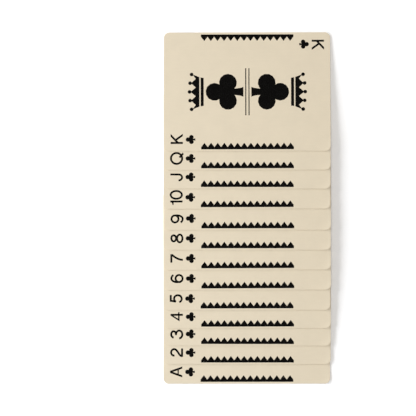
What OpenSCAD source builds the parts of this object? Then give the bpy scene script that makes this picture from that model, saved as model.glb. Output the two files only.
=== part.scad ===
// One suit of playing cards, ace to king, laid face up in an overlapping spread.
// The ace lies flat, and every later card leans on the far edge of the card before it.
// X runs along the long edges, +Y from the ace to the king, and +Z up from the table.

/* [Card] */
// Length of a card, along its long edges
card_len = 88; // [60:0.5:130]
// Width of a card, along its short edges
card_wid = 63; // [45:0.5:90]
// Thickness of the board
card_t = 0.3; // [0.2:0.01:0.6]
// Radius of the rounded corners
corner_r = 2.8; // [1:0.1:8]

/* [Spread] */
// Step from one card to the next, before it is made uneven
step = 10.2; // [6:0.1:16]
// Air between the faces of two neighbours
air = 0.02; // [0.01:0.005:0.06]
// Share of the missing slope that each card leaves to the next
ease = 0.65; // [0:0.05:0.8]
// How unevenly the cards are laid, where 0 is dead straight
unevenness = 1; // [0:0.1:1.5]

/* [Hidden] */
NODES = [
    "ace_of_clubs", "two_of_clubs", "three_of_clubs", "four_of_clubs", "five_of_clubs",
    "six_of_clubs", "seven_of_clubs", "eight_of_clubs", "nine_of_clubs", "ten_of_clubs",
    "jack_of_clubs", "queen_of_clubs", "king_of_clubs"
];
last = len(NODES) - 1;
$fn = 64;

// Where each card departs from a dead straight spread: its step and its sideways place in mm,
// and its turn in degrees
extra_step = [0, 0, -0.4, -1, -0.6, 0.4, 0.4, 0.3, 0.3, 1, 0.4, -0.3, -0.2];
sideways = [-0.25, 0.05, 0.1, 0.05, -0.25, 0.1, 0.05, 0.1, 0.2, -0.1, 0.05, 0.05, 0.1];
turned = [0, -0.05, -0.1, 0.1, 0.1, 0.2, 0.2, 0, 0.05, 0.1, -0.1, 0.1, 0.1];

function pace(i) = step + unevenness * extra_step[i];
function shift(i) = unevenness * sideways[i];
function turn(i) = unevenness * turned[i];

// Share of the full slope that card i has: none at the ace, nearly all at the king
function rise(i) = 1 - pow(ease, i);
function eased_length(i) = i == 0 ? 0 : eased_length(i - 1) + pace(i) * rise(i);

// The drops along the spread add up to the pile's depth, which brings the king's heel to the table
full_sine = (last * (card_t + air) - air) / eased_length(last);
function tilt(i) = asin(full_sine * rise(i));

// Heel of card i, its lower far edge, as [y, z] with the ace's near edge at y = 0.
// It reaches one step past the card before it, down its own slope
function upward(i) = [sin(tilt(i)), cos(tilt(i))];
function downhill(i) = [cos(tilt(i)), -sin(tilt(i))];
function heel(i) =
    i == 0
    ? [card_wid, 0]
    : heel(i - 1) + card_t * upward(i - 1) + [0, air] + pace(i) * downhill(i);

spread_len = heel(last)[0];

// A board with rounded corners, centred on the origin
module board() {
    straight_len = card_len - 2 * corner_r;
    straight_wid = card_wid - 2 * corner_r;
    translate([0, 0, -card_t / 2])
        linear_extrude(card_t) {
            square([straight_len, card_wid], center = true);
            square([card_len, straight_wid], center = true);
            for (x = [-1, 1], y = [-1, 1])
                translate([x * straight_len, y * straight_wid] / 2)
                    circle(r = corner_r);
        }
}

// Card i where it lies, tilted about its heel
module card(i) {
    color("#e2d6bf")
        translate([shift(i), heel(i)[0] - spread_len / 2, heel(i)[1]])
            rotate([-tilt(i), 0, 0])
                translate([0, -card_wid / 2, card_t / 2])
                    rotate([0, 0, turn(i)])
                        board();
}

for (i = [0 : last])
    card(i);
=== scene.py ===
# One suit of playing cards, ace to king, face up in an overlapping spread on a white table.
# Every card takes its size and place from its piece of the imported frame. Its two printed sides
# are cut into its own mesh, with ink and bare stock lying flush in one surface.
import math

import bpy
import numpy as np
from mathutils import Matrix, Vector
from mathutils.geometry import delaunay_2d_cdt


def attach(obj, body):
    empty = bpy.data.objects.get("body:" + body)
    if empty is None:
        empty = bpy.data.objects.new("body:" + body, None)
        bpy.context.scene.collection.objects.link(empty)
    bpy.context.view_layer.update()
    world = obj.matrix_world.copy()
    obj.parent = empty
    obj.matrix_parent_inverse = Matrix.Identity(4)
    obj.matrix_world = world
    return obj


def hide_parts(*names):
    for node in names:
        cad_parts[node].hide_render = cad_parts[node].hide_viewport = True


mm = 0.001
tiny = 1e-6      # numbers this close are taken as equal
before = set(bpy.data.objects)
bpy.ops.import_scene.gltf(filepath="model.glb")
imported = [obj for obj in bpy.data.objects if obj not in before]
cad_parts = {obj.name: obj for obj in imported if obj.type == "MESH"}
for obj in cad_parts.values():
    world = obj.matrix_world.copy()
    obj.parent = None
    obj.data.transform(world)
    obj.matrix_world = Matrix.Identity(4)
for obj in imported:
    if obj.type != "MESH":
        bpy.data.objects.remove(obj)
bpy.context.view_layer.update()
print("frame loaded:", len(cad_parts), "cards")


# Camera

cameraView = {
    "place": (-20.68, -14.3, 1000),    # mm; straight above, a little left of the spread
    "turn": (0.815, 0, -0.045),        # degrees off looking straight down
    "lens": 163.6,                     # mm, a long lens that keeps the cards' sides parallel
    "sensor": 36,
}


def addCamera():
    data = bpy.data.cameras.new("overheadCamera")
    data.lens = cameraView["lens"]
    data.sensor_width = cameraView["sensor"]
    camera = bpy.data.objects.new("overheadCamera", data)
    camera.location = Vector(cameraView["place"]) * mm
    camera.rotation_euler = [math.radians(angle) for angle in cameraView["turn"]]
    bpy.context.collection.objects.link(camera)
    bpy.context.scene.camera = camera


addCamera()
print("camera set")


# Nodes and colours

# Settings that several nodes share
multiply = {"operation": "MULTIPLY"}
smooth = {"interpolation_type": "SMOOTHSTEP"}
blend = {"data_type": "RGBA"}


def linearColour(hexCode):
    # sRGB hex to the linear numbers that the shaders use
    values = [int(hexCode[i:i + 2], 16) / 255 for i in (1, 3, 5)]
    return [v / 12.92 if v <= 0.04045 else ((v + 0.055) / 1.055) ** 2.4 for v in values] + [1]


def addNode(tree, kind, settings={}, inputs={}, output=0):
    # One node with its settings; an input is a value, or another node's output to link
    node = tree.nodes.new(kind)
    for name, value in settings.items():
        setattr(node, name, value)
    for name, value in inputs.items():
        if isinstance(value, bpy.types.NodeSocket):
            tree.links.new(value, node.inputs[name])
        else:
            node.inputs[name].default_value = value
    return node.outputs[output] if node.outputs else node


def newMaterial(name):
    material = bpy.data.materials.new(name)
    material.use_nodes = True
    material.node_tree.nodes.clear()
    return material, material.node_tree


# Light and table

studio = {
    "tent": "#FFFCF9",          # a white tent round the table, a touch warm
    "tentStrength": 0.3,
    "foot": 0.15,               # share of its light at the table's edge
    "wallFrom": 10,             # degrees above the table where its wall starts to brighten
    "wallTo": 35,               # and where it is in full light
    "openFrom": 50,             # where it starts to open round the camera
    "openTo": 60,               # and where it is fully open
    "top": 0.04,                # share of its light in the opening
    "table": "#F4F4F4",
    "tableRoughness": 0.3,
    "tableGain": 1.26,          # the table is photographed brighter than white
    "tableHalf": 4000,          # mm, half its side
}

windows = {
    # Degrees round from the left towards the back, degrees up, mm away, mm along and up, and watts
    "longWindow": {"round": 20, "up": 18, "away": 1600, "size": (1400, 520), "power": 27.5,
                   "colour": "#FFFFFF"},
    "frontWindow": {"round": -42, "up": 12, "away": 1100, "size": (700, 250), "power": 5.5,
                    "colour": "#F2F7FF"},
    "nearWindow": {"round": -15, "up": 20, "away": 420, "size": (200, 110), "power": 0.52,
                   "colour": "#DDEBFF"},
    "rightReflector": {"round": 180, "up": 22, "away": 900, "size": (900, 400), "power": 0.8,
                       "colour": "#FFFFFF"},
    "copyLamp": {"round": 0, "up": 88, "away": 1500, "size": (1200, 1200), "power": 9.7,
                 "colour": "#FFFCF8"},
}


def addTent():
    # Brightest halfway up, and open round the camera, so black ink has only the dark top to
    # reflect. The camera sees plain white beyond the table
    world = bpy.data.worlds.new("whiteTent")
    world.use_nodes = True
    tree = world.node_tree
    tree.nodes.clear()
    way = addNode(tree, "ShaderNodeTexCoord", output="Generated")
    height = addNode(tree, "ShaderNodeSeparateXYZ", {}, {0: way}, "Z")
    wallFrom, wallTo, openFrom, openTo = [
        math.sin(math.radians(studio[name]))
        for name in ("wallFrom", "wallTo", "openFrom", "openTo")]
    wall = addNode(tree, "ShaderNodeMapRange", smooth, {
        "Value": height, "From Min": wallFrom, "From Max": wallTo,
        "To Min": studio["foot"], "To Max": 1})
    opening = addNode(tree, "ShaderNodeMapRange", smooth, {
        "Value": height, "From Min": openFrom, "From Max": openTo,
        "To Min": 1, "To Max": studio["top"]})
    level = addNode(tree, "ShaderNodeMath", multiply, {0: wall, 1: opening})
    level = addNode(tree, "ShaderNodeMath", multiply, {0: level, 1: studio["tentStrength"]})
    camera = addNode(tree, "ShaderNodeLightPath", output="Is Camera Ray")
    level = addNode(tree, "ShaderNodeMath", {"operation": "MAXIMUM"}, {0: level, 1: camera})
    shine = addNode(tree, "ShaderNodeBackground", {}, {
        "Color": linearColour(studio["tent"]), "Strength": level})
    addNode(tree, "ShaderNodeOutputWorld", {}, {"Surface": shine})
    bpy.context.scene.world = world


def addWindow(name, window):
    # Behind polarising film and crossed with the lens, as flat prints are lit: only the tent
    # leaves a shine on the cards
    data = bpy.data.lights.new(name, "AREA")
    data.shape = "RECTANGLE"
    data.size, data.size_y = [side * mm for side in window["size"]]
    data.energy = window["power"]
    data.color = linearColour(window["colour"])[:3]
    light = bpy.data.objects.new(name, data)
    turn, up = math.radians(window["round"]), math.radians(window["up"])
    way = Vector((-math.cos(up) * math.cos(turn), math.cos(up) * math.sin(turn), math.sin(up)))
    light.location = way * window["away"] * mm
    light.rotation_euler = (-way).to_track_quat("-Z", "Y").to_euler()
    light.visible_glossy = False
    bpy.context.collection.objects.link(light)


def addTable():
    # Seamless white paper; the camera's exposure lifts it past white, and its shadow stays
    material, tree = newMaterial("seamlessPaper")
    camera = addNode(tree, "ShaderNodeLightPath", output="Is Camera Ray")
    white = linearColour(studio["table"])
    lifted = [value * studio["tableGain"] for value in white[:3]] + [1]
    colour = addNode(tree, "ShaderNodeMix", blend, {"Factor": camera, 6: white, 7: lifted}, 2)
    paper = addNode(tree, "ShaderNodeBsdfDiffuse", {}, {
        "Color": colour, "Roughness": studio["tableRoughness"]})
    addNode(tree, "ShaderNodeOutputMaterial", {}, {"Surface": paper})
    half = studio["tableHalf"] * mm
    mesh = bpy.data.meshes.new("table")
    corners = [(-half, -half, 0), (half, -half, 0), (half, half, 0), (-half, half, 0)]
    mesh.from_pydata(corners, [], [(0, 1, 2, 3)])
    mesh.materials.append(material)
    table = bpy.data.objects.new("table", mesh)
    bpy.context.collection.objects.link(table)


addTent()
for name, window in windows.items():
    addWindow(name, window)
addTable()
bpy.context.scene.view_settings.view_transform = "Standard"
print("light and table set")


# Card sizes, read from the frame

def cardFrame(node):
    # A card's own axes and centre: x along its long edges, z out of its face. Rounded to 0.1
    # micrometres, the points that meet at a corner count once
    points = np.unique(np.array([v.co for v in node.data.vertices]).round(7), axis=0)
    centre = points.mean(axis=0)
    axes = np.linalg.svd(points - centre)[2]
    longWay = axes[0] * np.sign(axes[0][0])
    upWay = axes[2] * np.sign(axes[2][2])
    axes = np.array([longWay, np.cross(upWay, longWay), upWay])
    place = Matrix(axes.T.tolist()).to_4x4()
    place.translation = Vector(centre)
    return place, (points - centre) @ axes.T


def measureCard():
    local = np.abs(cardFrame(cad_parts["king_of_clubs"])[1])
    halfLen, halfWid, halfThick = local.max(axis=0) / mm
    straight = local[local[:, 0] > halfLen * mm - tiny][:, 1].max() / mm
    return {"halfLen": halfLen, "halfWid": halfWid, "halfThick": halfThick,
            "corner": halfWid - straight}


card = measureCard()
card["roll"] = 0.05              # mm, the die rounds both rims
diagonal = 1 - math.sqrt(0.5)    # how far in a rounded corner's middle lies, in radii
print("card measured:", {name: round(float(value), 3) for name, value in card.items()})


# How the cards lie

names = ["ace", "two", "three", "four", "five", "six", "seven", "eight", "nine", "ten",
         "jack", "queen", "king"]
places = [cardFrame(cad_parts[name + "_of_clubs"])[0] for name in names]
bend = {
    "air": 0.02,          # mm that stays between two cards
    "strips": 9,          # flat strips between the creases, which follow a card's curve
    "creases": 4,         # on each side of the corner that the thumb turns up in spreading them
    "creaseStep": 1.6,    # mm between them along the edges
    "cornerLift": 0.2,    # mm at that corner
    "chords": 16,         # to a rounded corner
}


def restOf(i):
    # How far card i reaches past the far edge of the card below, and how high its near edge
    # would stand over that card if it didn't bend, mm
    half, thick = card["halfWid"] * mm, card["halfThick"] * mm
    far = places[i].inverted() @ places[i - 1] @ Vector((0, half, thick))
    near = places[i - 1].inverted() @ places[i] @ Vector((0, -half, -thick))
    return (half - far.y) / mm, (near.z - thick) / mm


rests = [(0, 0)] + [restOf(i) for i in range(1, len(places))]


def sag(i, fromFar):
    # A thin card gives under its own weight: it follows the card below, and its near edge comes
    # down on it. This is how low it hangs at each distance from its far edge, mm
    if i == 0:
        return 0 * fromFar
    reach, gap = rests[i]
    beyond = np.maximum(fromFar - reach, 0)
    own = (gap - bend["air"]) * (beyond / (2 * card["halfWid"] - reach)) ** 2
    return sag(i - 1, beyond) + own


def cornerLift(u, v):
    # The near right corner curls up about creases that cross it; (u, v) as in the drawings
    inward = 2 * card["corner"] * diagonal
    reach = card["corner"] + bend["creases"] * bend["creaseStep"]
    beyond = np.maximum(reach - (card["halfWid"] + u) - (card["halfLen"] + v), 0)
    return bend["cornerLift"] * (beyond / (reach - inward)) ** 2


# Drawing in flat shapes
# Art is drawn in mm on an upright card: u to the right, v up, and the middle at (0, 0).
# A shape is a list of closed loops, and what lies in an odd number of them is inked.
# A path is a list of stops: (u, v) is a corner, (bu, bv, u, v) a curve drawn towards (bu, bv),
# and (cu, cv, ru, rv, a, b) the part of an ellipse from angle a to angle b.

drawing = {
    "flatness": 0.008,    # mm, how far a chord may lie from its curve
    "pen": 1.05,          # mm, the stroke of the index letters
    "capHeight": 6.5,
    "curveSteps": 8,      # chords to a drawn curve
    "shortest": 1e-4,     # mm, shorter steps along a pen line are left out
    "steep": 0.1,         # the flattest slope at which a pen line's end is cut level
    "weld": 1e-5,         # mm, points this close become one when a face is cut
}


def follow(path):
    # The points along a path
    points = []
    for stop in path:
        if len(stop) == 2:
            points.append(tuple(stop))
        elif len(stop) == 4:
            (au, av), (bu, bv, cu, cv) = points[-1], stop
            for i in range(drawing["curveSteps"]):
                t = (i + 1) / drawing["curveSteps"]
                points.append(((1 - t) ** 2 * au + 2 * t * (1 - t) * bu + t * t * cu,
                               (1 - t) ** 2 * av + 2 * t * (1 - t) * bv + t * t * cv))
        else:
            cu, cv, ru, rv, start, end = stop
            widest = 2 * math.acos(1 - drawing["flatness"] / max(ru, rv))
            count = math.ceil(abs(math.radians(end - start)) / widest)
            for i in range(count + 1):
                angle = math.radians(start + (end - start) * i / count)
                points.append((cu + ru * math.cos(angle), cv + rv * math.sin(angle)))
    return points


def solid(*path):
    return [follow(path)]


def ring(cu, cv, ru, rv):
    # An ellipse drawn with the pen: its outer edge and its hole
    half = drawing["pen"] / 2
    return [follow([(cu, cv, ru + side, rv + side, 0, 360)])[:-1] for side in (half, -half)]


def disc(cu, cv, radius):
    return [follow([(cu, cv, radius, radius, 0, 360)])[:-1]]


def pen(*path, width=None):
    # A pen line with mitred corners. An end on the base or cap line is cut level, others square
    half = (width or drawing["pen"]) / 2
    spine = [Vector(point) for point in follow(path)]
    spine = [point for i, point in enumerate(spine)
             if i == 0 or (point - spine[i - 1]).length > drawing["shortest"]]
    ways = [(b - a).normalized() for a, b in zip(spine, spine[1:])]
    sides = ([], [])
    for i, point in enumerate(spine):
        before, after = ways[max(i - 1, 0)], ways[min(i, len(ways) - 1)]
        along = (before + after).normalized()
        across = Vector((-along.y, along.x))
        reach = half / along.dot(before)
        for side, sign in zip(sides, (1, -1)):
            edge = point + across * reach * sign
            onLine = min(abs(point.y), abs(point.y - drawing["capHeight"])) < tiny
            if i in (0, len(spine) - 1) and onLine and abs(along.y) > drawing["steep"]:
                edge += along * (point.y - edge.y) / along.y
            side.append(tuple(edge))
    return [sides[0] + sides[1][::-1]]


def moved(shapes, u=0, v=0, scale=1, turned=False):
    # Scales shapes, turns them half round if asked, and moves them
    size = -scale if turned else scale
    return [[[(u + size * a, v + size * b) for a, b in loop] for loop in shape]
            for shape in shapes]


def bothEnds(shapes):
    # A card reads the same from either end
    return shapes + moved(shapes, turned=True)


# The index: a light sans letter or number over a small club, v = 0 on the base line

indexPlace = {
    "fromLongEdge": 6.25,     # mm, to the middle of the letter and the small club
    "baseLine": 9.85,         # mm from the short edge
    "clubMiddle": 13.9,
    "clubHeight": 5.1,
}

nine = [
    ring(-0.25, 4.27, 1.85, 1.85),
    pen((-0.2, 3.3, 1.85, 3.08, 20, -90), (-0.2, 1.9, 1.95, 1.68, -90, -160)),
]

letters = {
    "A": [
        pen((0, 6.5), (-2.32, 0)),
        pen((0, 6.5), (2.32, 0)),
        pen((-1.6, 2.2), (1.6, 2.2), width=0.7),
    ],
    "2": [
        pen((0.1, 4.55, 1.7, 1.62, 186, -35), (0.7, 2.85, -0.3, 2.25), (-1.8, 1.45, -1.95, 0.4)),
        pen((-2.2, 0.4), (2.2, 0.4)),
    ],
    "3": [
        pen((-0.2, 4.88, 1.62, 1.28, 184, -90), (-0.65, 3.6)),
        pen((-0.65, 3.6), (-0.25, 1.95, 2.05, 1.65, 90, -180)),
    ],
    "4": [
        pen((1.05, 6.5), (1.05, 0)),
        pen((0.95, 6.3), (-1.7, 2.15), (2.45, 2.15), width=0.78),
    ],
    "5": [
        pen((1.95, 6.1), (-1.15, 6.1), (-1.55, 3.3)),
        pen((-0.1, 2.33, 1.88, 2.02, 147, -160)),
    ],
    "6": moved(nine, -0.2, 6.37, turned=True),
    "7": [
        pen((-2.2, 6.1), (2.3, 6.1)),
        pen((2.05, 5.9), (-0.7, 2.85, -0.7, 0)),
    ],
    "8": [
        ring(0, 4.82, 1.6, 1.24),
        ring(-0.05, 1.63, 2.05, 1.42),
    ],
    "9": nine,
    "10": [
        pen((-2.2, 6.5), (-2.2, 0)),
        solid((-4, 4.7), (-2.2, 4.7), (-2.2, 6.5), (-4, 6.5, 1.6, 1.15, 0, -90)),
        ring(1.3, 3.3, 2.05, 2.97),
    ],
    "J": [
        pen((1.33, 6.5), (-0.22, 1.95, 1.55, 1.62, 0, -188)),
    ],
    "Q": [
        ring(0.03, 3.28, 2.87, 2.95),
        pen((0.5, 1.75), (2.75, -0.25)),
    ],
    "K": [
        pen((-1.8, 6.5), (-1.8, 0)),
        pen((-1.8, 2.55), (2.3, 6.5)),
        pen((-0.3, 3.9), (2.45, 0)),
    ],
}


# The club: three round leaves on a flared stalk, one unit tall

clubShape = {
    "leaf": 0.236,           # radius
    "top": 0.264,            # height of the top leaf's middle
    "side": -0.092,          # height of the side leaves' middles
    "spread": 0.241,         # and how far they lie from the middle line
    "neck": 0.08,            # half the stalk's width between the leaves
    "foot": 0.135,           # and at its foot
    "flare": -0.42,          # height that its curved sides are drawn towards
    "base": -0.5,
}


def club(height):
    leaf, top, side, spread, neck, foot, flare, base = clubShape.values()
    heart = [(0, top), (-spread, side), (spread, side)]
    leaves = [disc(u, v, leaf) for u, v in heart]
    stalk = follow([(-neck, side), (-neck, flare, -foot, base), (foot, base),
                    (neck, flare, neck, side)])
    return moved(leaves + [[heart], [stalk]], scale=height)


# What each rank carries

faceArt = {
    "register": (-0.05, -0.1),   # mm, how far the print lies off the cut
    "pipHeight": 9.5,
    "column": 12.5,          # mm from the middle line to the side columns of clubs
    "row": 26,               # mm from the middle to the outermost row
    "aceHeight": 25,
    "courtHeight": 20,
    "courtFoot": 2.1,        # mm from the middle to a court card's club
    "crownFoot": 3.1,        # mm from the middle to the crown, without the club's height
    "crownHeight": 8.4,      # mm, with the balls on its points
    "lineHalf": 12.5,        # mm, half the length of the thin lines across the middle
    "lineOff": 0.85,         # mm from the middle to each of them
    "lineWidth": 0.55,
    "toothCount": 14,
    "toothPitch": 3.5,       # mm, one black tooth of the border
    "toothHeight": 2.3,
    "toothRule": 1.2,        # mm, the solid line that the teeth stand on
    "toothInset": 1,         # mm from the long edge
}

ranks = ["A"] + [str(n) for n in range(2, 11)] + ["J", "Q", "K"]
sideColumn = {4: 2, 5: 2, 6: 3, 7: 3, 8: 3, 9: 4, 10: 4}      # clubs in each side column
middleColumn = {2: (1, -1), 3: (1, 0, -1), 5: (0,), 7: (0.5,), 8: (0.5, -0.5), 9: (0,),
                10: (2 / 3, -2 / 3)}                          # their rows, in outermost rows


def indexArt(rank):
    u = indexPlace["fromLongEdge"] - card["halfWid"]
    end = card["halfLen"]
    letter = moved(letters[rank], u, end - indexPlace["baseLine"])
    small = moved(club(indexPlace["clubHeight"]), u, end - indexPlace["clubMiddle"])
    return bothEnds(letter + small)


def toothBorder():
    # A dog-tooth border along the left edge: a thin rule with a row of solid triangles on it
    count, pitch = faceArt["toothCount"], faceArt["toothPitch"]
    outer = faceArt["toothInset"] - card["halfWid"]
    base = outer + faceArt["toothRule"]
    end = count * pitch / 2
    loop = [(outer, end), (outer, -end), (base, -end)]
    for i in range(count):
        loop.append((base + faceArt["toothHeight"], (i + 0.5) * pitch - end))
        loop.append((base, (i + 1) * pitch - end))
    return bothEnds([[loop]])


def pipArt(count):
    pips = [(0, row) for row in middleColumn.get(count, ())]
    rows = sideColumn.get(count, 0)
    pips += [(side, 1 - 2 * i / (rows - 1)) for side in (-1, 1) for i in range(rows)]
    shapes = []
    for column, row in pips:
        shapes += moved(club(faceArt["pipHeight"]), column * faceArt["column"],
                        row * faceArt["row"], turned=row < 0)
    return shapes


crownShape = {
    # One unit tall: half widths, and heights above its band's foot
    "half": 0.88,
    "band": 0.19,            # top of the band
    "bandFlare": 1.04,       # how many times as wide it is there
    "foot": 0.27,            # where the spikes start
    "footFlare": 1.06,
    "reach": 1.1,            # the outermost spikes' tips
    "tip": 0.83,             # the middle spike's tip
    "drop": 0.13,            # how much lower the outermost are
    "valley": 0.5,
    "ball": 0.12,            # radius
    "cap": (0.72, 0.45),     # the jack's cap, half its width and its height
    "capButton": 0.14,       # radius
    "buttonUp": 0.55,        # above the foot
}


def crown(points):
    # Band, spikes and a ball on each spike. A single spike makes the jack's cap
    half, foot, ball = crownShape["half"], crownShape["foot"], crownShape["ball"]
    wide, top = half * crownShape["bandFlare"], crownShape["band"]
    shapes = [solid((-half, 0), (half, 0), (wide, top), (-wide, top))]
    if points == 1:
        return shapes + [solid((0, foot, *crownShape["cap"], 0, 180)),
                         disc(0, foot + crownShape["buttonUp"], crownShape["capButton"])]
    reach, end = crownShape["reach"], half * crownShape["footFlare"]
    zigzag = [(-end, foot)]
    for i in range(points):
        share = 2 * i / (points - 1) - 1
        height = crownShape["tip"] - crownShape["drop"] * share ** 2
        zigzag.append((reach * share, height))
        shapes.append(disc(reach * share, height + ball / 2, ball))
        if i < points - 1:
            zigzag.append((reach * (share + 1 / (points - 1)), crownShape["valley"]))
    return shapes + [[zigzag + [(end, foot)]]]


def courtArt(rank):
    # A crowned club that is double ended, with two thin lines across the middle
    tall, half, off = [faceArt[name] for name in ("courtHeight", "lineHalf", "lineOff")]
    line = pen((-half, off), (half, off), width=faceArt["lineWidth"])
    figure = moved(club(tall), 0, faceArt["courtFoot"] + tall / 2)
    points = {"J": 1, "Q": 3, "K": 5}[rank]
    figure += moved(crown(points), 0, tall + faceArt["crownFoot"], scale=faceArt["crownHeight"])
    return bothEnds([line] + figure)


def frontArt(rank):
    shapes = indexArt(rank) + toothBorder()
    if rank == "A":
        shapes += moved(club(faceArt["aceHeight"]))
    elif rank in "JQK":
        shapes += courtArt(rank)
    else:
        shapes += pipArt(int(rank))
    return moved(shapes, *faceArt["register"])


backArt = {
    "border": 4.5,           # mm of bare stock round the pattern
    "rule": 0.8,             # mm, the black line round the pattern
    "pitch": (4.4, 6),       # mm between the diamonds of one row, and between two like rows
    "diamond": 0.72,         # share of the pitch that a diamond fills
}


def latticeArt():
    # Black diamonds in staggered rows inside a ruled frame
    halves = [side - backArt["border"] for side in (card["halfWid"], card["halfLen"])]
    frameLoops = []
    for inset in (0, backArt["rule"]):
        u, v = [half - inset for half in halves]
        frameLoops.append([(-u, -v), (u, -v), (u, v), (-u, v)])
    fields = [half - 2 * backArt["rule"] for half in halves]
    counts = [round(2 * field / pitch) for field, pitch in zip(fields, backArt["pitch"])]
    stepU, stepV = [2 * field / count for field, count in zip(fields, counts)]
    du, dv = [step * backArt["diamond"] / 2 for step in (stepU, stepV)]
    shapes = [frameLoops]
    for row in range(2 * counts[1] - 1):
        odd = row % 2
        for column in range(counts[0] - odd):
            u = stepU * (column + (1 + odd) / 2) - fields[0]
            v = stepV * (row + 1) / 2 - fields[1]
            shapes.append([[(u - du, v), (u, v - dv), (u + du, v), (u, v + dv)]])
    return shapes


# Card mesh

def sideStops(half, strips):
    # Places along a straight side, from its middle: at the creases near both corners, and evenly
    # between them
    end = half - card["corner"]
    creases = [end - bend["creaseStep"] * (k + 1) for k in range(bend["creases"])]
    between = [creases[-1] * (2 * i / strips - 1) for i in range(1, strips)]
    return [-stop for stop in creases] + between + creases[::-1]


def outline(inset):
    # The die-cut outline, moved in by inset, from the corner that turns up, with stops along
    # its sides for the card to bend at
    radius, chords = card["corner"] - inset, bend["chords"]
    u, v = card["halfWid"] - card["corner"], card["halfLen"] - card["corner"]
    across = sideStops(card["halfWid"], bend["strips"])
    along = sideStops(card["halfLen"], 1)
    points = []
    for signU, signV, start in ((-1, -1, 180), (1, -1, 270), (1, 1, 0), (-1, 1, 90)):
        for i in range(chords + 1):
            angle = math.radians(start + 90 * i / chords)
            points.append((signU * u + radius * math.cos(angle),
                           signV * v + radius * math.sin(angle)))
        if signU == signV:
            points += [(-signU * stop, signV * (v + radius)) for stop in across]
        else:
            points += [(signU * (u + radius), -signV * stop) for stop in along]
    return points


def bendLines(rim):
    # Pairs of rim points to join: across the card from short edge to short edge, and the creases
    straight, chords = card["halfWid"] - card["corner"] - tiny, bend["chords"]
    ends = [[i for i, (u, v) in enumerate(rim) if abs(u) < straight and v * side > 0]
            for side in (1, -1)]
    creases = [(k % len(rim), chords - k) for k in range(-bend["creases"], chords // 2)]
    return list(zip(ends[0], reversed(ends[1]))) + creases


def insideLoop(points, loop):
    # Which points lie in a closed loop, by counting the edges to their right
    inside = np.zeros(len(points), bool)
    u, v = points[:, 0], points[:, 1]
    for (au, av), (bu, bv) in zip(loop, loop[1:] + loop[:1]):
        if av != bv:
            crosses = (av > v) != (bv > v)
            inside ^= crosses & (u < (bu - au) * (v - av) / (bv - av) + au)
    return inside


def cutFace(shapes):
    # One side of a card in triangles that follow every printed edge
    rim = outline(card["roll"])
    points, edges = [], []
    for loop in [rim] + [loop for shape in shapes for loop in shape]:
        first = len(points)
        points += [Vector(point) for point in loop]
        edges += [(first + i, first + (i + 1) % len(loop)) for i in range(len(loop))]
    edges += bendLines(rim)
    found, _, triangles, origins, *_ = delaunay_2d_cdt(points, edges, [], 0, drawing["weld"])
    flat = np.array([tuple(point) for point in found])
    middles = flat[np.array(triangles)].mean(axis=1)
    inked = np.zeros(len(triangles), bool)
    for shape in shapes:
        corners = np.array([point for loop in shape for point in loop])
        low, high = corners.min(axis=0), corners.max(axis=0)
        near = np.nonzero(((middles > low) & (middles < high)).all(axis=1))[0]
        odd = np.zeros(len(near), bool)
        for loop in shape:
            odd ^= insideLoop(middles[near], loop)
        inked[near] |= odd
    newIndex = {old: new for new, olds in enumerate(origins) for old in olds}
    return flat, triangles, inked, [newIndex[i] for i in range(len(rim))]


stockSlot, inkSlot, edgeSlot = 0, 1, 2      # the materials' places on a card


def cardMesh(number, front, back, materials):
    # Front and back faces, joined by a rim that is rolled at both cuts
    thick, roll = card["halfThick"], card["roll"]
    turn = roll * diagonal
    vertices = [(u, v, thick) for u, v in front[0]]
    faces = [tuple(triangle) for triangle in front[1]]
    slots = [inkSlot if inked else stockSlot for inked in front[2]]
    rolled = [False] * len(faces)
    belt = front[3]
    for inset, z, slot in ((turn, thick - turn, stockSlot), (0, thick - roll, stockSlot),
                           (0, roll - thick, edgeSlot), (turn, turn - thick, stockSlot)):
        first = len(vertices)
        vertices += [(u, v, z) for u, v in outline(inset)]
        nextBelt = list(range(first, len(vertices)))
        faces += beltFaces(belt, nextBelt)
        slots += [slot] * len(belt)
        belt = nextBelt
    first = len(vertices)
    vertices += [(u, v, -thick) for u, v in back[0]]
    faces += beltFaces(belt, [first + i for i in back[3]])
    slots += [stockSlot] * len(belt)
    rolled += [True] * (len(faces) - len(rolled))
    faces += [tuple(first + i for i in reversed(triangle)) for triangle in back[1]]
    slots += [inkSlot if inked else stockSlot for inked in back[2]]
    rolled += [False] * len(back[1])
    mesh = bpy.data.meshes.new("printed_" + names[number])
    # An upright card's up is the frame's -X, and its right is +Y
    u, v, z = np.array(vertices).T
    z = z - sag(number, card["halfWid"] - u) + cornerLift(u, v)
    mesh.from_pydata((np.array([-v, u, z]).T * mm).tolist(), [], faces)
    for material in materials:
        mesh.materials.append(material)
    mesh.polygons.foreach_set("material_index", slots)
    mesh.polygons.foreach_set("use_smooth", rolled)
    mesh.update()
    return mesh


def beltFaces(upper, lower):
    # Quads between two loops of the rim
    count = len(upper)
    return [(upper[i], lower[i], lower[(i + 1) % count], upper[(i + 1) % count])
            for i in range(count)]


# Materials

grain = {
    "shift": (0.31, 0.47, 0),    # metres; how far apart two cards sample their noise, at most
    "roughness": 0.55,
    "low": 0.25,                 # noise keeps mostly between these two levels
    "high": 0.75,
}


def ownPlace(tree):
    # The card's own coordinates, and the same shifted so that no two cards match
    place = addNode(tree, "ShaderNodeTexCoord", output="Object")
    chance = addNode(tree, "ShaderNodeObjectInfo", output="Random")
    shift = addNode(tree, "ShaderNodeVectorMath", {"operation": "SCALE"}, {
        0: grain["shift"], "Scale": chance})
    shifted = addNode(tree, "ShaderNodeVectorMath", {"operation": "ADD"}, {0: place, 1: shift})
    return place, shifted


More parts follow.
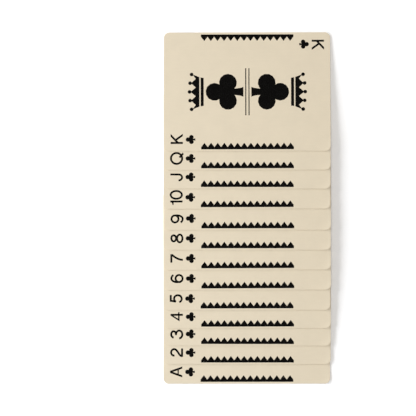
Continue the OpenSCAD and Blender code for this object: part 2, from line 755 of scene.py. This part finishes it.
def noiseOf(tree, place, sizes, detail):
    # Soft noise whose lumps measure sizes in mm
    scale = [1 / (size * mm) for size in sizes]
    stretched = addNode(tree, "ShaderNodeVectorMath", multiply, {0: place, 1: scale})
    return addNode(tree, "ShaderNodeTexNoise", {}, {
        "Vector": stretched, "Scale": 1, "Detail": detail, "Roughness": grain["roughness"]})


def spreadAbout(tree, noise, middle, amount):
    # Noise becomes a value round middle
    return addNode(tree, "ShaderNodeMapRange", {}, {
        "Value": noise, "From Min": grain["low"], "From Max": grain["high"],
        "To Min": middle - amount, "To Max": middle + amount})


def toned(tree, colour, tone):
    # A colour made lighter and darker by a tone round 1
    shade = addNode(tree, "ShaderNodeCombineColor", {}, {0: tone, 1: tone, 2: tone})
    return addNode(tree, "ShaderNodeMix", {**blend, "blend_type": "MULTIPLY"}, {
        "Factor": 1, 6: colour, 7: shade}, 2)


stock = {
    "cream": "#E4D7BE",
    "cloud": 0.02,           # share by which the cream drifts
    "cloudSize": (9, 9, 9),  # mm
    "cloudDetail": 2,
    "fibre": 0.012,
    "fibreSize": (5, 0.9, 5),    # mm, drawn three times as coarse as real fibres, so they show
    "fibreDetail": 3,
    # The band at the die-cut outline: partly wear from handling, partly painted shade that darkens
    # the lines where each card's edge lies on the next
    "rimWearAndShade": "#A8977A",
    "rimWearAndShadeReach": 0.4,        # mm in from the edge that the grey-brown band covers
    "rimWearAndShadeShare": 0.14,
    "rimWearAndShadeLevel": 0.8,
    "rimWearAndShadeDrift": 0.4,
    "embossPitch": 0.6,      # mm between the dimples of the air-cushion finish
    "embossDepth": 0.0015,
    "ior": 1.5,
    "roughness": 0.5,
    "roughnessDrift": 0.05,
    "varnish": 0.12,
    "varnishRoughness": 0.35,
}


def edgeDistance(tree, place):
    # Metres in from the die-cut outline, up to the corner radius
    inner = [(card[name] - card["corner"]) * mm for name in ("halfLen", "halfWid")] + [1]
    size = addNode(tree, "ShaderNodeVectorMath", {"operation": "ABSOLUTE"}, {0: place})
    past = addNode(tree, "ShaderNodeVectorMath", {"operation": "SUBTRACT"}, {0: size, 1: inner})
    past = addNode(tree, "ShaderNodeVectorMath", {"operation": "MAXIMUM"}, {
        0: past, 1: (0, 0, 0)})
    length = addNode(tree, "ShaderNodeVectorMath", {"operation": "LENGTH"}, {0: past}, "Value")
    return addNode(tree, "ShaderNodeMath", {"operation": "SUBTRACT"}, {
        0: card["corner"] * mm, 1: length})


def embossed(tree, place):
    # Two crossed waves press in the rows of shallow dimples
    split = addNode(tree, "ShaderNodeSeparateXYZ", {}, {0: place}).node
    waves = []
    for axis in ("X", "Y"):
        turns = addNode(tree, "ShaderNodeMath", multiply, {
            0: split.outputs[axis], 1: 2 * math.pi / (stock["embossPitch"] * mm)})
        waves.append(addNode(tree, "ShaderNodeMath", {"operation": "SINE"}, {0: turns}))
    dimples = addNode(tree, "ShaderNodeMath", multiply, {0: waves[0], 1: waves[1]})
    return addNode(tree, "ShaderNodeBump", {}, {
        "Height": dimples, "Strength": 1, "Distance": stock["embossDepth"] * mm})


def varnishedStock():
    # Coated card stock under a dispersion varnish: matt cream, faintly cloudy and fibrous, with
    # a soft sheen at low angles. Its edges are greyed, partly as wear from handling and partly as
    # painted shade for the lines where cards overlap
    material, tree = newMaterial("varnishedCardStock")
    place, shifted = ownPlace(tree)
    cloud = noiseOf(tree, shifted, stock["cloudSize"], stock["cloudDetail"])
    fibre = noiseOf(tree, shifted, stock["fibreSize"], stock["fibreDetail"])
    tone = addNode(tree, "ShaderNodeMath", multiply, {
        0: spreadAbout(tree, cloud, 1, stock["cloud"]),
        1: spreadAbout(tree, fibre, 1, stock["fibre"])})
    colour = toned(tree, linearColour(stock["cream"]), tone)
    # Painted shade, partly wear: the cream is mixed towards grey-brown in a thin band at the
    # outline
    rimWearAndShade = addNode(tree, "ShaderNodeMapRange", smooth, {
        "Value": edgeDistance(tree, place), "From Min": 0, "From Max": stock["rimWearAndShadeReach"] * mm,
        "To Min": stock["rimWearAndShadeShare"], "To Max": 0})
    rimWearAndShade = addNode(tree, "ShaderNodeMath", multiply, {
        0: rimWearAndShade, 1: spreadAbout(tree, cloud, stock["rimWearAndShadeLevel"], stock["rimWearAndShadeDrift"])})
    colour = addNode(tree, "ShaderNodeMix", blend, {
        "Factor": rimWearAndShade, 6: colour, 7: linearColour(stock["rimWearAndShade"])}, 2)
    roughness = spreadAbout(tree, fibre, stock["roughness"], stock["roughnessDrift"])
    paper = addNode(tree, "ShaderNodeBsdfPrincipled", {}, {
        "Base Color": colour, "Roughness": roughness, "IOR": stock["ior"],
        "Normal": embossed(tree, place), "Coat Weight": stock["varnish"],
        "Coat Roughness": stock["varnishRoughness"]})
    addNode(tree, "ShaderNodeOutputMaterial", {}, {"Surface": paper})
    return material


ink = {
    "black": "#0D0C0B",
    "drift": 0.15,           # share by which the ink film's tone drifts
    "filmSize": (3, 3, 3),   # mm
    "filmDetail": 4,
    "ior": 1.45,
    "roughness": 0.26,
    "roughnessDrift": 0.04,
}


def offsetInk():
    # Offset ink, printed solid: a thin dense film that is a little closer and glossier than paper
    material, tree = newMaterial("offsetBlackInk")
    place, shifted = ownPlace(tree)
    film = noiseOf(tree, shifted, ink["filmSize"], ink["filmDetail"])
    colour = toned(tree, linearColour(ink["black"]), spreadAbout(tree, film, 1, ink["drift"]))
    roughness = spreadAbout(tree, film, ink["roughness"], ink["roughnessDrift"])
    black = addNode(tree, "ShaderNodeBsdfPrincipled", {}, {
        "Base Color": colour, "Roughness": roughness, "IOR": ink["ior"],
        "Normal": embossed(tree, place)})
    addNode(tree, "ShaderNodeOutputMaterial", {}, {"Surface": black})
    return material


cutEdge = {
    "core": "#D5C8AE",
    "fibre": 0.1,            # share by which the core's tone drifts
    "fibreSize": (0.7, 0.7, 0.08),   # mm, flat along the plies
    "fibreDetail": 3,
    "fibreDepth": 0.02,      # mm
    "glue": "#8C7F69",
    "glueShare": 0.8,
    "glueWidth": 0.05,       # mm, from the middle of the board to where the glue fades out
    "ior": 1.5,
    "roughness": 0.85,
}


def cutBoard():
    # The die-cut edge: open paper fibres, dull, with a dark glue line between the plies
    material, tree = newMaterial("cutPaperEdge")
    place, shifted = ownPlace(tree)
    fibre = noiseOf(tree, shifted, cutEdge["fibreSize"], cutEdge["fibreDetail"])
    height = addNode(tree, "ShaderNodeSeparateXYZ", {}, {0: place}, "Z")
    height = addNode(tree, "ShaderNodeMath", {"operation": "ABSOLUTE"}, {0: height})
    seam = addNode(tree, "ShaderNodeMapRange", smooth, {
        "Value": height, "From Min": 0, "From Max": cutEdge["glueWidth"] * mm,
        "To Min": cutEdge["glueShare"], "To Max": 0})
    colour = addNode(tree, "ShaderNodeMix", blend, {
        "Factor": seam, 6: linearColour(cutEdge["core"]), 7: linearColour(cutEdge["glue"])}, 2)
    colour = toned(tree, colour, spreadAbout(tree, fibre, 1, cutEdge["fibre"]))
    bump = addNode(tree, "ShaderNodeBump", {}, {
        "Height": fibre, "Strength": 1, "Distance": cutEdge["fibreDepth"] * mm})
    edge = addNode(tree, "ShaderNodeBsdfPrincipled", {}, {
        "Base Color": colour, "Roughness": cutEdge["roughness"], "IOR": cutEdge["ior"],
        "Normal": bump})
    addNode(tree, "ShaderNodeOutputMaterial", {}, {"Surface": edge})
    return material


materials = [varnishedStock(), offsetInk(), cutBoard()]
print("materials made")


# Cards

def layCards():
    back = cutFace(latticeArt())
    for i, (name, rank) in enumerate(zip(names, ranks)):
        mesh = cardMesh(i, cutFace(frontArt(rank)), back, materials)
        piece = bpy.data.objects.new(mesh.name, mesh)
        piece.matrix_world = places[i]
        bpy.context.collection.objects.link(piece)
        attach(piece, name + "_card")
        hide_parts(name + "_of_clubs")
        print("card laid:", name, len(mesh.polygons), "faces")


layCards()
